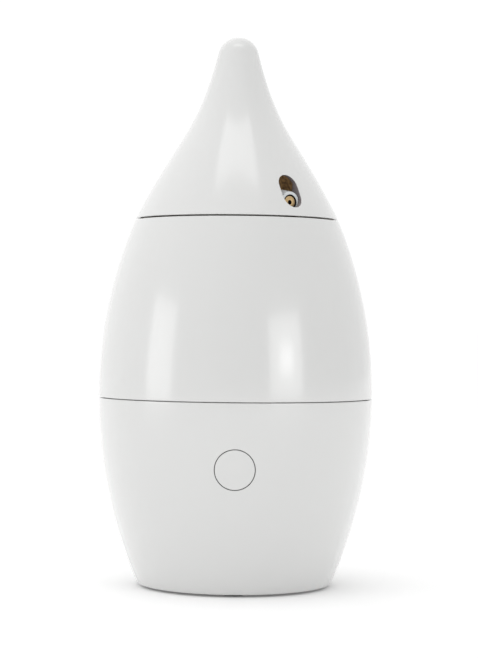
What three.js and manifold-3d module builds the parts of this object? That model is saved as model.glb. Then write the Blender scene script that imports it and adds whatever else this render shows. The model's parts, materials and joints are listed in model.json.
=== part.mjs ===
// Cool mist humidifier: a droplet-shaped table unit that sprays water through a small brass nozzle.
//
// Millimetres, +Z up, floor at z = 0, the body's axis on the Z axis. The front, with the power button,
// faces -Y. From the floor up there are three sections: the base with its pump and electronics, the water
// tank, and the cap, which turns on the tank's neck to aim the nozzle and lifts off for filling.
// All pieces of the cap are drawn with the nozzle facing -Y and are then turned together by nozzleTurn.

import * as THREE from "three";
import { mergeVertices } from "three/addons/utils/BufferGeometryUtils.js";
import Module from "manifold-3d";

// ---------------------------------------------------------------- sizes

// Outside form.
const overallHeight = 300;
const bellyRadius = 75; // greatest radius
const bellyHeight = 103.4; // height of the greatest radius
const sideRadius = 250; // radius of the single arc that base and tank follow
const tipRadius = 11.3; // dome at the top of the cap
const tipAngle = 0.25; // radians above the horizontal at which the dome meets the cap's flank
const capSlope = 0.5; // inward run per unit of height at the cap's lower edge
const capLowerPull = 0.52; // handles of the cap's flank curve, as shares of the cap's height
const capUpperPull = 0.475;
const wall = 2.6;
const gap = 0.3; // clearance between pieces that touch
const roundSteps = 40; // facets round the large turned pieces

// Seams between the three sections.
const lowerSeam = 102.6;
const lowerSeamGap = 0.4;
const upperSeam = 199.5;
const upperSeamGap = 0.8;

// Underside.
const footRadius = 6;
const footStand = 1.2; // how far the housing's lower edge stands off the floor
const coverInset = 0.6; // how far the bottom cover sits above the housing's lower edge
const coverThickness = 2.6;
const coverBossLength = 12;
const bossRadius = 4; // screw bosses, all of one size
const footRecess = 1; // depth of the pockets that the feet are set in

// Screws: head radius, head height, shank radius.
const screwHead = 2.9;
const screwHeadHeight = 1.6;
const screwShank = 1.2;
const screwHole = screwShank + gap;
const screwSeat = 0.6; // plastic left above a sunk screw head

// Power button and the board behind it.
const buttonRadius = 10.7; // radius of its hole in the housing
const buttonGap = 0.35;
const buttonHeight = 68;
const buttonTravel = 1.2;
const buttonSkirt = 6.5; // length of the button's skirt behind its face
const buttonRim = 1.6; // width and thickness of the rim that keeps the button in
const stemRadius = 2.4;
const switchHalf = 3.2; // half of the switch's width and height
const switchLength = 3.5;
const plungerRadius = 1.7;
const plungerLength = 2.7;
const guideThickness = 2;
const boardThickness = 1.6;
const boardWidth = 58;
const boardHeight = 32;
const boardScrewSpan = 42;

// Power inlet at the rear.
const inletHeight = 22;
const inletRadius = 5.5;
const inletLength = 15;
const inletRecess = 1; // how far the jack's face sits in from the housing's surface
const inletFlange = 2.5;
const socketRadius = 3.2;
const socketDepth = 10;
const pinRadius = 1;

// Pump, lying along X above the bottom cover.
const pumpHeight = 32; // height of the motor's axis
const pumpY = 5;
const motorRear = -46; // X of the motor's rear end
const motorRadius = 14;
const motorLength = 38;
const pumpHeadSize = 36;
const pumpHeadLength = 29.7;
const portSpan = 18; // distance between the two ports
const portLength = 8;
const canWall = 2; // the motor's steel can
const airGap = 0.8; // between the can and the rotor
const shaftRadius = 1.5;
const crankThrow = 1.2;
const crankRadius = 4;
const damperThickness = 2.3;
const damperEnd = 8; // bare length of motor at each end of the rubber damper
const cradleThickness = 2;
const cradleHalfWidth = 16;

// Water way.
const nippleRadius = 2.2;
const hoseWall = 1.5;
const boreRadius = 1.2;
const sumpY = 34; // rearward offset of the tank's outlet
const riserRadius = 7;
const riserWall = 2;
const strainerRadius = 9;
const strainerHeight = 14;
const strainerWall = 1.2;
const sensorRadius = 2;
const sensorHalfLength = 7;
const leadRadius = 1.2;
const thinLeadRadius = 0.9;

// Tank.
const ledgeWidth = 12; // flange inside the top of the base
const ledgeThickness = 2.5;
const ledgeDrop = 3.4; // from the base's top edge down to the flange
const floorInset = 0.6; // how far the tank's floor sits above the tank's lower edge
const floorThickness = 2.5;
const floorRim = 2.4; // width of the floor's rim, which rests on the base's ledge
const hubHeight = 16; // socket of the riser tube
const hubWall = 2.7;
const nippleDrop = 14; // from the tank's floor down to the ends of its hose nipples
const gasketThickness = 1.5;
const tankLedgeWidth = 4; // ledge inside the tank that presses on the gasket
const tankLedgeHeight = 2;
const mouthDepth = 12.6; // from the tank's top edge down to the shoulder
const stepWidth = 2.5; // step inside the tank's wall that the shoulder is welded up against
const stepHeight = 1.2;
const neckRadius = 40;
const neckWall = 2.4;
const neckHeight = 7.5;
const beadWidth = 1; // snap bead round the top of the neck
const beadDrop = 1.5; // from the neck's top down to the foot of the bead
const postRadius = 2.6;
const postFoot = 7;
const postHead = 5;
const floatRest = 2.3; // height of the float above the floor when the tank is empty
const floatRadius = 12;
const floatHeight = 14;
const floatX = -36;
const floatY = -10;
const floatTravel = 11;

// Cap, slot and nozzle.
const plateThickness = 1.6;
const skirtDrop = 7; // from the carrier plate down to its skirt's lower edge
const ringWall = 2.4; // swivel ring and skirt
const ringDrop = 2.5; // from the carrier plate down to the swivel ring's top
const swivelGap = 0.4;
const keyWidth = 6; // keys on the swivel ring that turn the cap with it
const keyHeight = 3;
const slotLow = 204.5;
const slotHigh = 222.1;
const slotWidth = 11.8;
const guideReach = 6.28; // walls beside the slot, from the nozzle's face back to their inner ends
const guideWall = 1.6;
const nozzleTurn = 35.5; // degrees from the front at which the nozzle points
const nozzleHeight = 207.4;
const nozzleRecess = 3.5; // from the cap's surface in to the nozzle's face
const nozzleArm = 26; // from the tilt pivot to the nozzle's face
const nozzleRadius = 3.8;
const nozzleChamfer = 0.5;
const nozzleSink = 0.4; // from the holder's face in to the nozzle's face
const orificeRadius = 0.4;
const orificeMouth = 1.2;
const orificeDepth = 2;
const seatDepth = 8;
const sealThickness = 1;
const holderTip = 5.7; // radius at the face
const holderBelly = 7.3; // greatest radius
const holderTaper = 8.8; // distance from the face back to the greatest radius
const holderFlat = 5.1; // half width between the flats on its two sides
const holderBack = 4; // from the pivot to its rear end
const trunnionRadius = 2.6;
const cheekThickness = 2.5;
const cheekGap = 0.8;
const cheekFront = 5; // how far the bracket reaches in front of the pivot
const cheekBack = 9.5; // and behind it
const cheekTop = 5; // and above it
const bridgeThickness = 2.5; // wall that joins the bracket's cheeks
const tabFront = 5.5; // from the pivot back to the front of the bracket's tabs
const tabBack = 13;
const tabThickness = 2;
const bracketScrewOut = 3.8; // from a cheek's outer face to its screw
const drainSpan = 32; // distance of the plate's drain holes from the axis
const drainRadius = 2;
const coverScrewIn = 6.5; // from the bottom cover's edge in to its screws
const footIn = 2.5; // from the bottom cover's edge in to the feet
const inletBossWall = 3.5;
const stopWidth = 2.4; // ribs inside the cap that rest on the plate
const stopHeight = 5;
const stopDepth = 5;

// Levels that follow from the sizes above.
const baseTop = lowerSeam - lowerSeamGap / 2;
const tankBottom = lowerSeam + lowerSeamGap / 2;
const tankTop = upperSeam - upperSeamGap / 2;
const capBottom = upperSeam + upperSeamGap / 2;
const coverBottom = footStand + coverInset;
const coverTop = coverBottom + coverThickness;
const ledgeTop = baseTop - ledgeDrop;
const ledgeBottom = ledgeTop - ledgeThickness;
const floorBottom = tankBottom + floorInset;
const floorTop = floorBottom + floorThickness;
const shoulderTop = tankTop - mouthDepth;
const shoulderBottom = shoulderTop - wall;
const neckTop = shoulderTop + neckHeight;
const plateBottom = capBottom;
const plateTop = plateBottom + plateThickness;

// ---------------------------------------------------------------- tools

const wasm = await Module();
wasm.setup();

// A three.js geometry as a solid that can be joined and cut.
function solid(geometry) {
  const bare = new THREE.BufferGeometry();
  bare.setAttribute("position", geometry.getAttribute("position"));
  bare.setIndex(geometry.index);
  const merged = mergeVertices(bare, 1e-4);
  const corners = merged.index.array;
  const kept = [];
  for (let i = 0; i < corners.length; i += 3) {
    const [a, b, c] = corners.slice(i, i + 3);
    if (a !== b && b !== c && c !== a) kept.push(a, b, c);
  }
  const build = (triangles) =>
    new wasm.Manifold(
      new wasm.Mesh({
        numProp: 3,
        vertProperties: merged.getAttribute("position").array,
        triVerts: new Uint32Array(triangles),
      }),
    );
  const made = build(kept);
  return made.volume() > 0 ? made : build(kept.reverse());
}

// A body turned about the Z axis from [radius, z] points that start and end on the axis.
function turned(profile, steps = roundSteps) {
  const points = profile.map(([radius, z]) => new THREE.Vector2(radius, z));
  return solid(new THREE.LatheGeometry(points, steps).rotateX(Math.PI / 2));
}

// A ring turned about the Z axis from a [radius, z] section that stays clear of the axis.
function turnedRing(section, steps = roundSteps) {
  return turned([...section, section[0]], steps);
}

// A plain tube or washer standing on the Z axis.
function washer(inner, outer, low, high, steps = roundSteps) {
  return turnedRing([[inner, low], [outer, low], [outer, high], [inner, high]], steps);
}

// A round bar between two points.
function rod(from, to, radius, steps = 16) {
  const start = new THREE.Vector3(...from);
  const along = new THREE.Vector3(...to).sub(start);
  const bar = new THREE.CylinderGeometry(radius, radius, along.length(), steps);
  bar.translate(0, along.length() / 2, 0);
  bar.applyQuaternion(
    new THREE.Quaternion().setFromUnitVectors(new THREE.Vector3(0, 1, 0), along.clone().normalize()),
  );
  bar.translate(start.x, start.y, start.z);
  return solid(bar);
}

// A box between two opposite corners.
function block(low, high) {
  const size = high.map((value, i) => value - low[i]);
  const middle = high.map((value, i) => (value + low[i]) / 2);
  return solid(new THREE.BoxGeometry(...size).translate(...middle));
}

// A tube of the given outer and inner radius along a smooth line through the points.
function hose(points, outer, inner, steps) {
  const path = new THREE.CatmullRomCurve3(points.map((point) => new THREE.Vector3(...point)));
  const section = new THREE.Shape().absarc(0, 0, outer, 0, 2 * Math.PI);
  if (inner > 0) section.holes.push(new THREE.Path().absarc(0, 0, inner, 0, 2 * Math.PI, true));
  return solid(
    new THREE.ExtrudeGeometry(section, { steps, extrudePath: path, curveSegments: 4 }),
  );
}

// Points spaced evenly round a circle, from a first angle in degrees.
function around(count, radius, firstAngle) {
  return Array.from({ length: count }, (_, i) => {
    const angle = THREE.MathUtils.degToRad(firstAngle + (360 * i) / count);
    return { angle, x: radius * Math.cos(angle), y: radius * Math.sin(angle) };
  });
}

// A box reaching outwards from the Z axis at an angle, between two radii.
function radialBlock(angle, inner, outer, width, low, high) {
  const shape = new THREE.BoxGeometry(outer - inner, width, high - low);
  shape.translate((inner + outer) / 2, 0, (low + high) / 2);
  return solid(shape.rotateZ(angle));
}

function union(...solids) {
  return solids.reduce((all, one) => all.add(one));
}

function cut(from, ...solids) {
  return solids.reduce((all, one) => all.subtract(one), from);
}

// ---------------------------------------------------------------- outlines

// Radius of base and tank at a height, on a surface inset from the outside.
function sideAt(z, inset = 0) {
  return bellyRadius - sideRadius + Math.sqrt((sideRadius - inset) ** 2 - (z - bellyHeight) ** 2);
}

// Points along that surface between two heights.
function sideArc(from, to, inset, steps) {
  return Array.from({ length: steps + 1 }, (_, i) => {
    const z = from + ((to - from) * i) / steps;
    return [sideAt(z, inset), z];
  });
}

const capHeight = overallHeight - capBottom;
const flankStart = new THREE.Vector2(sideAt(capBottom), capBottom);
const flankEnd = new THREE.Vector2(
  tipRadius * Math.cos(tipAngle),
  overallHeight - tipRadius + tipRadius * Math.sin(tipAngle),
);
const flank = new THREE.CubicBezierCurve(
  flankStart,
  new THREE.Vector2(-capSlope, 1).setLength(capLowerPull * capHeight).add(flankStart),
  new THREE.Vector2(Math.sin(tipAngle), -Math.cos(tipAngle))
    .setLength(capUpperPull * capHeight)
    .add(flankEnd),
  flankEnd,
);

// The cap's outline from its lower edge to the apex, inset from the outside.
function capOutline(inset, flankSteps, domeSteps) {
  const points = [[flankStart.x - inset * Math.hypot(1, capSlope), capBottom]];
  for (let i = 1; i <= flankSteps; i += 1) {
    const along = flank.getTangent(i / flankSteps);
    const on = flank.getPoint(i / flankSteps);
    points.push([on.x - inset * along.y, on.y + inset * along.x]);
  }
  for (let i = 1; i <= domeSteps; i += 1) {
    const angle = tipAngle + ((Math.PI / 2 - tipAngle) * i) / domeSteps;
    const radius = tipRadius - inset;
    points.push([
      i === domeSteps ? 0 : radius * Math.cos(angle),
      overallHeight - tipRadius + radius * Math.sin(angle),
    ]);
  }
  return points;
}

// Radius of the cap at a height.
function capAt(z, inset = 0) {
  const points = capOutline(inset, 60, 20);
  const above = Math.max(1, points.findIndex((point) => point[1] >= z));
  const [r0, z0] = points[above - 1];
  const [r1, z1] = points[above];
  return r0 + ((r1 - r0) * (z - z0)) / (z1 - z0);
}

// The whole space inside the base's surface, and inside the cap's, used to trim pieces that meet them.
function baseSpace(inset) {
  return turned([[0, 0], ...sideArc(0, baseTop, inset, 7), [0, baseTop]]);
}

function capSpace(inset) {
  return turned([[0, capBottom], ...capOutline(inset, 9, 3)]);
}

// ---------------------------------------------------------------- materials and pieces

function material(color, roughness, metalness = 0) {
  return new THREE.MeshStandardMaterial({ color, roughness, metalness });
}

const bodyWhite = () => material("#eeedee", 0.28);
const innerWhite = () => material("#d9d9d6", 0.5);
const rubberBlack = () => material("#26272a", 0.85);
const sealRed = () => material("#8a3b30", 0.75);
const steel = () => material("#b9bcc0", 0.35, 0.9);
const brass = () => material("#c79d5c", 0.35, 0.9);
const boardGreen = () => material("#1f5a3a", 0.6);
const moulding = () => material("#3b3d42", 0.55);
const silicone = () => material("#cfd3d2", 0.6);
const floatYellow = () => material("#e6b84a", 0.55);

const humidifier = new THREE.Group();
const capGroup = new THREE.Group();
capGroup.rotation.z = THREE.MathUtils.degToRad(nozzleTurn);
humidifier.add(capGroup);

// Adds a solid to a group as a named mesh, turned and then moved to its place.
function piece(name, look, made, { group = humidifier, at = [0, 0, 0], turn = [0, 0, 0] } = {}) {
  const mesh = made.getMesh();
  const geometry = new THREE.BufferGeometry();
  geometry.setAttribute("position", new THREE.BufferAttribute(mesh.vertProperties, 3));
  geometry.setIndex(new THREE.BufferAttribute(mesh.triVerts, 1));
  geometry.computeVertexNormals();
  const result = new THREE.Mesh(geometry, look);
  result.name = name;
  result.position.set(...at);
  result.rotation.set(...turn);
  group.add(result);
}

// A cross-head screw with its head's face at z = 0 and its shank pointing up.
function screw(length) {
  const body = turned(
    [
      [0, 0],
      [screwHead, 0],
      [screwHead, screwHeadHeight],
      [screwShank, screwHeadHeight],
      [screwShank, length - 1],
      [0, length],
    ],
    12,
  );
  const arm = screwHead * 0.6;
  return cut(
    body,
    block([-arm, -0.35, -1], [arm, 0.35, 0.8]),
    block([-0.35, -arm, -1], [0.35, arm, 0.8]),
  );
}

// ---------------------------------------------------------------- base housing and underside

const coverRadius = sideAt(coverBottom, wall) - gap;
const coverScrews = around(4, coverRadius - coverScrewIn, 45);
const feet = around(4, coverRadius - footRadius - footIn, 0);
const coverBossTop = coverTop + coverBossLength;
const tankScrewCircle = sideAt(ledgeTop, wall) - ledgeWidth / 2 - 1.5;
const tankScrews = around(3, tankScrewCircle, 90);

// Y of a point the given distance in from the button's face.
function behindButton(depth) {
  return depth - sideAt(buttonHeight);
}

// Y of a point the given distance in from the housing's surface at the power inlet.
function insideInlet(depth) {
  return sideAt(inletHeight) - depth;
}

// Depths behind the button's face, from the front of the wall's bosses back to the board.
const guideFront = buttonSkirt + buttonRim + buttonTravel + 2.7;
const boardFront = guideFront + 8.5;
const plungerFront = guideFront + 3.2;
const bossEnd = guideFront - gap;
const inletBossEnd = 7;
const boardScrewX = [-1, 1].map((side) => (side * boardScrewSpan) / 2);

// A round bar along Y between two depths behind the button's face, or in from the inlet's surface.
function buttonRod(from, to, radius, { x = 0, steps = 32 } = {}) {
  return rod([x, behindButton(from), buttonHeight], [x, behindButton(to), buttonHeight], radius, steps);
}

function inletRod(from, to, radius) {
  return rod([0, insideInlet(from), inletHeight], [0, insideInlet(to), inletHeight], radius, 20);
}

function baseHousing() {
  const innerTop = sideAt(ledgeTop, wall);
  const shell = turnedRing([
    [sideAt(footStand) - 1.5, footStand],
    ...sideArc(footStand + 1.2, baseTop, 0, 7),
    ...sideArc(baseTop, ledgeTop, wall, 1),
    [innerTop - ledgeWidth, ledgeTop],
    [innerTop - ledgeWidth, ledgeBottom],
    ...sideArc(ledgeBottom, footStand, wall, 4),
  ]);
  const ribs = coverScrews.map(({ angle, x, y }) =>
    union(
      rod([x, y, coverTop + gap], [x, y, coverBossTop], bossRadius),
      radialBlock(angle, Math.hypot(x, y), bellyRadius, 2.4, coverTop + gap, coverBossTop),
    ),
  );
  const boardBosses = boardScrewX.map((x) => buttonRod(0, bossEnd, bossRadius, { x, steps: 16 }));
  const inletBoss = inletRod(-wall, inletBossEnd, inletRadius + inletBossWall);
  const inside = union(...ribs, ...boardBosses, inletBoss).intersect(baseSpace(wall / 2));
  return cut(
    union(shell, inside),
    ...coverScrews.map(({ x, y }) =>
      rod([x, y, coverTop], [x, y, coverBossTop - wall], screwHole, 12),
    ),
    ...tankScrews.map(({ x, y }) => rod([x, y, ledgeBottom - 1], [x, y, ledgeTop + 1], screwHole, 12)),
    ...boardScrewX.map((x) => buttonRod(2 * wall, bossEnd + 1, screwHole, { x, steps: 12 })),
    buttonRod(-wall, buttonSkirt + wall, buttonRadius),
    inletRod(-wall, inletBossEnd + 1, inletRadius + gap),
  );
}

piece("base_housing", bodyWhite(), baseHousing());

piece(
  "bottom_cover",
  innerWhite(),
  cut(
    turned([[0, coverBottom], [coverRadius, coverBottom], [coverRadius, coverTop], [0, coverTop]]),
    ...feet.map(({ x, y }) =>
      rod([x, y, coverBottom - 1], [x, y, coverBottom + footRecess], footRadius + gap, 16),
    ),
    ...coverScrews.map(({ x, y }) => rod([x, y, coverBottom - 1], [x, y, coverTop + 1], screwHole, 12)),
    ...coverScrews.map(({ x, y }) =>
      rod([x, y, coverBottom - 1], [x, y, coverTop - screwSeat], screwHead + gap, 12),
    ),
  ),
);

feet.forEach(({ x, y }, i) => {
  const top = coverBottom + footRecess - gap;
  const foot = turned([[0, 0], [footRadius - 0.6, 0], [footRadius, 0.6], [footRadius, top], [0, top]], 16);
  piece(`foot_${i + 1}`, rubberBlack(), foot, { at: [x, y, 0] });
});

coverScrews.forEach(({ x, y }, i) => {
  const low = coverTop - screwSeat - gap - screwHeadHeight;
  piece(`cover_screw_${i + 1}`, steel(), screw(9), { at: [x, y, low] });
});

// ---------------------------------------------------------------- power button, switch and board

// The button's face follows the housing's surface; a rim behind the wall keeps it in.
function powerButton() {
  const skirtRadius = buttonRadius - buttonGap;
  const skirtWall = 2;
  const face = buttonRod(-wall, buttonSkirt, skirtRadius).intersect(baseSpace(0));
  const hollow = buttonRod(-wall, buttonSkirt + 1, skirtRadius - skirtWall).intersect(baseSpace(2.2));
  const rim = cut(
    buttonRod(buttonSkirt - 0.2, buttonSkirt + buttonRim - 0.2, buttonRadius + buttonRim),
    buttonRod(buttonSkirt - 1, buttonSkirt + buttonRim + 1, skirtRadius - skirtWall),
  );
  const stem = buttonRod(wall / 2, plungerFront - gap, stemRadius, { steps: 16 });
  return union(cut(face, hollow), rim, stem);
}

piece("power_button", bodyWhite(), powerButton());

// A box that spans x to either side, a half height, and two depths behind the button's face.
function buttonBlock(x, halfWidth, halfHeight, from, to) {
  return block(
    [x - halfWidth, behindButton(from), buttonHeight - halfHeight],
    [x + halfWidth, behindButton(to), buttonHeight + halfHeight],
  );
}

const boardScrewHoles = () =>
  boardScrewX.map((x) => buttonRod(bossEnd, boardFront + boardThickness + 1, screwHole, { x, steps: 12 }));

piece(
  "button_guide",
  moulding(),
  cut(
    union(
      buttonBlock(0, boardScrewSpan / 2 + bossRadius, 9, guideFront, guideFront + guideThickness),
      ...boardScrewX.map((x) => buttonBlock(x, bossRadius, 6, guideFront, boardFront - gap)),
    ),
    buttonRod(bossEnd, guideFront + guideThickness + 1, stemRadius + 0.4, { steps: 16 }),
    ...boardScrewHoles(),
  ),
);

const switchFront = boardFront - gap - switchLength;
piece(
  "switch_body",
  moulding(),
  cut(
    buttonBlock(0, switchHalf, switchHalf, switchFront, boardFront - gap),
    buttonRod(switchFront - 1, boardFront - 1, plungerRadius + gap, { steps: 16 }),
  ),
);
piece(
  "switch_plunger",
  rubberBlack(),
  buttonRod(plungerFront, plungerFront + plungerLength, plungerRadius, { steps: 16 }),
);

piece(
  "control_board",
  boardGreen(),
  cut(
    buttonBlock(0, boardWidth / 2, boardHeight / 2, boardFront, boardFront + boardThickness),
    ...boardScrewHoles(),
  ),
);

boardScrewX.forEach((x, i) => {
  const head = boardFront + boardThickness + gap + screwHeadHeight;
  const length = head - 3 * wall - gap;
  const at = [x, behindButton(head), buttonHeight];
  piece(`board_screw_${i + 1}`, steel(), screw(length), { at, turn: [Math.PI / 2, 0, 0] });
});

// ---------------------------------------------------------------- power inlet

const inletRear = inletRecess + inletLength;
piece(
  "power_inlet",
  rubberBlack(),
  union(
    cut(
      union(
        inletRod(inletRecess, inletRear, inletRadius),
        inletRod(inletBossEnd + gap, inletBossEnd + inletFlange, inletRadius + inletFlange),
      ),
      inletRod(0, inletRecess + socketDepth, socketRadius),
    ),
    inletRod(inletRecess + 1, inletRear - 2, pinRadius),
  ),
);

// ---------------------------------------------------------------- pump

const motorFront = motorRear + motorLength;
const headRear = motorFront + gap;
const headFront = headRear + pumpHeadLength;
const headTop = pumpHeight + pumpHeadSize / 2;
const portX = (headRear + headFront) / 2;
const portTop = headTop + portLength;
const outletPortY = pumpY - portSpan / 2;
const inletPortY = pumpY + portSpan / 2;
const alongX = { at: [motorRear, pumpY, pumpHeight], turn: [0, Math.PI / 2, 0] };

piece(
  "pump_motor",
  steel(),
  turnedRing(
    [
      [shaftRadius + 0.5, 0],
      [motorRadius, 0],
      [motorRadius, motorLength],
      [motorRadius - canWall, motorLength],
      [motorRadius - canWall, canWall],
      [shaftRadius + 0.5, canWall],
    ],
    24,
  ),
  alongX,
);

const rotorRadius = motorRadius - canWall - airGap;
const crank = rod([crankThrow, 0, motorLength + 3], [crankThrow, 0, motorLength + 9], crankRadius);
piece(
  "pump_rotor",
  steel(),
  union(
    turned(
      [
        [0, -shaftRadius],
        [shaftRadius, -shaftRadius],
        [shaftRadius, 2 * canWall],
        [rotorRadius, 2 * canWall],
        [rotorRadius, motorLength - 5],
        [shaftRadius, motorLength - 5],
        [shaftRadius, motorLength + 4],
        [0, motorLength + 4],
      ],
      20,
    ),
    crank,
  ),
  alongX,
);

piece(
  "pump_head",
  moulding(),
  cut(
    union(
      block(
        [headRear, pumpY - pumpHeadSize / 2, pumpHeight - pumpHeadSize / 2],
        [headFront, pumpY + pumpHeadSize / 2, headTop],
      ),
      ...[outletPortY, inletPortY].map((y) =>
        rod([portX, y, headTop - 1], [portX, y, portTop], nippleRadius),
      ),
    ),
    rod(
      [headRear - 1, pumpY, pumpHeight],
      [headRear + 12, pumpY, pumpHeight],
      crankThrow + crankRadius + 2.3,
      20,
    ),
    ...[outletPortY, inletPortY].map((y) =>
      rod([portX, y, headTop - 6], [portX, y, portTop + 1], boreRadius, 12),
    ),
  ),
);

const damperInner = motorRadius + gap;
const damperOuter = damperInner + damperThickness;
const damperFrom = damperEnd;
const damperTo = motorLength - damperEnd;
piece("pump_damper", rubberBlack(), washer(damperInner, damperOuter, damperFrom, damperTo, 24), alongX);

const cradleBottom = coverTop + gap;
const saddleHalf = damperOuter + 1;
piece(
  "pump_cradle",
  moulding(),
  cut(
    union(
      block(
        [motorRear, pumpY - cradleHalfWidth, cradleBottom],
        [headFront, pumpY + cradleHalfWidth, cradleBottom + cradleThickness],
      ),
      block(
        [motorRear + damperFrom, pumpY - saddleHalf, cradleBottom],
        [motorRear + damperTo, pumpY + saddleHalf, pumpHeight],
      ),
      block(
        [headRear + 2, pumpY - cradleHalfWidth, cradleBottom],
        [headFront - 1, pumpY + cradleHalfWidth, pumpHeight - pumpHeadSize / 2 - gap],
      ),
    ),
    rod([motorRear - 1, pumpY, pumpHeight], [headRear, pumpY, pumpHeight], damperOuter + gap, 24),
  ),
);

// ---------------------------------------------------------------- tank

const floorRadius = sideAt(floorBottom, wall) - gap;
const hubTop = floorTop + hubHeight;
const hubRadius = riserRadius + gap + hubWall;
const hubFloor = floorTop + 2.1;
const riserBottom = hubFloor + gap;

// The tank's floor carries the riser's socket and, below it, the two hose nipples and the screw bosses.
function tankFloor() {
  const plate = turned([
    [0, floorBottom],
    [floorRadius - floorRim, floorBottom],
    [floorRadius - floorRim, ledgeTop + gap],
    [floorRadius, ledgeTop + gap],
    [floorRadius, floorTop],
    [0, floorTop],
  ]);
  const low = floorBottom - nippleDrop;
  return cut(
    union(
      plate,
      rod([0, 0, floorTop - 1], [0, 0, hubTop], hubRadius, 24),
      rod([0, 0, low], [0, 0, floorTop], nippleRadius),
      rod([0, sumpY, low], [0, sumpY, floorTop], nippleRadius),
      ...tankScrews.map(({ x, y }) => rod([x, y, ledgeTop + gap], [x, y, floorTop], bossRadius)),
    ),
    rod([0, 0, hubFloor], [0, 0, hubTop + 1], riserRadius + gap, 24),
    rod([0, 0, low - 1], [0, 0, hubFloor + 1], boreRadius, 12),
    rod([0, sumpY, low - 1], [0, sumpY, floorTop + 1], boreRadius, 12),
    ...tankScrews.map(({ x, y }) => rod([x, y, ledgeTop], [x, y, floorBottom + 1], screwHole, 12)),
  );
}

piece("tank_floor", innerWhite(), tankFloor());

tankScrews.forEach(({ x, y }, i) => {
  const low = ledgeBottom - gap - screwHeadHeight;
  piece(`tank_screw_${i + 1}`, steel(), screw(floorBottom + screwSeat - low), { at: [x, y, low] });
});

const gasketLow = floorTop + gap;
const tankLedge = gasketLow + gasketThickness + gap;
piece(
  "tank_gasket",
  sealRed(),
  washer(floorRadius - tankLedgeWidth, floorRadius, gasketLow, gasketLow + gasketThickness),
);

const stepLow = shoulderTop + gap;
const stepRadius = sideAt(stepLow, wall) - stepWidth;
piece(
  "tank_shell",
  bodyWhite(),
  turnedRing([
    ...sideArc(tankBottom, tankTop, 0, 7),
    ...sideArc(tankTop, stepLow + stepHeight + stepWidth, wall, 1),
    [stepRadius, stepLow + stepHeight],
    [stepRadius, stepLow],
    ...sideArc(stepLow, tankLedge + tankLedgeHeight + tankLedgeWidth, wall, 4),
    [sideAt(tankLedge, wall) - tankLedgeWidth, tankLedge + tankLedgeHeight],
    [sideAt(tankLedge, wall) - tankLedgeWidth, tankLedge],
    ...sideArc(tankLedge, tankBottom, wall, 1),
  ]),
);

// Shoulder and neck round the filling mouth; the swivel ring snaps over the bead on the neck.
const shoulderRadius = sideAt(shoulderTop, wall) - gap;
piece(
  "tank_neck",
  bodyWhite(),
  turnedRing([
    [neckRadius - neckWall, shoulderBottom],
    [shoulderRadius, shoulderBottom],
    [shoulderRadius, shoulderTop],
    [neckRadius, shoulderTop],
    [neckRadius, neckTop - beadDrop],
    [neckRadius + beadWidth, neckTop - beadDrop + 0.3],
    [neckRadius + beadWidth, neckTop - 0.4],
    [neckRadius, neckTop],
    [neckRadius - neckWall, neckTop],
  ]),
);

const riserTop = neckTop + 2;
const riserBore = riserRadius - riserWall;
piece("riser_tube", silicone(), washer(riserBore, riserRadius, riserBottom, riserTop, 24));

const strainerWindows = around(6, strainerRadius, 0).map(({ angle }) =>
  radialBlock(angle, strainerRadius - 3, strainerRadius + 1, 3.2, 3, strainerHeight - 3),
);
piece(
  "strainer",
  silicone(),
  cut(
    turned(
      [
        [0, strainerHeight],
        [strainerRadius, strainerHeight],
        [strainerRadius, gap],
        [strainerRadius - strainerWall, gap],
        [strainerRadius - strainerWall, strainerHeight - strainerWall],
        [0, strainerHeight - strainerWall],
      ],
      24,
    ),
    ...strainerWindows,
  ),
  { at: [0, sumpY, floorTop] },
);

// Float that slides on a post and tells the sensor below the floor when the tank is empty.
const floatTop = floatRest + floatHeight;
const postTop = floatTop + floatTravel + gap;
piece(
  "float_post",
  innerWhite(),
  turned(
    [
      [0, gap],
      [postFoot, gap],
      [postFoot, floatRest - gap],
      [postRadius, floatRest - gap],
      [postRadius, postTop],
      [postHead, postTop],
      [postHead, postTop + 2],
      [0, postTop + 2],
    ],
    16,
  ),
  { at: [floatX, floatY, floorTop] },
);
piece(
  "level_float",
  floatYellow(),
  washer(postRadius + 0.4, floatRadius, floatRest, floatTop, 24),
  { at: [floatX, floatY, floorTop] },
);
const sensorLevel = floorBottom - gap - sensorRadius;
piece(
  "level_sensor",
  rubberBlack(),
  rod(
    [floatX, floatY + sensorHalfLength, sensorLevel],
    [floatX, floatY - sensorHalfLength, sensorLevel],
    sensorRadius,
  ),
);

// ---------------------------------------------------------------- hoses and leads in the base

const hoseInner = nippleRadius + gap;
const hoseOuter = hoseInner + hoseWall;
const hoseLow = headTop + 1;
const hoseHigh = floorBottom - 1;
function waterHose(portY, endY) {
  return hose(
    [
      [portX, portY, hoseLow],
      [portX, portY, portTop],
      [portX, portY, portTop + 3],
      [portX / 2, (portY + endY) / 2, (portTop + floorBottom - nippleDrop) / 2],
      [0, endY, floorBottom - nippleDrop - 3],
      [0, endY, floorBottom - nippleDrop],
      [0, endY, hoseHigh],
    ],
    hoseOuter,
    hoseInner,
    14,
  );
}
piece("inlet_hose", silicone(), waterHose(inletPortY, sumpY));
piece("outlet_hose", silicone(), waterHose(outletPortY, 0));

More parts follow.
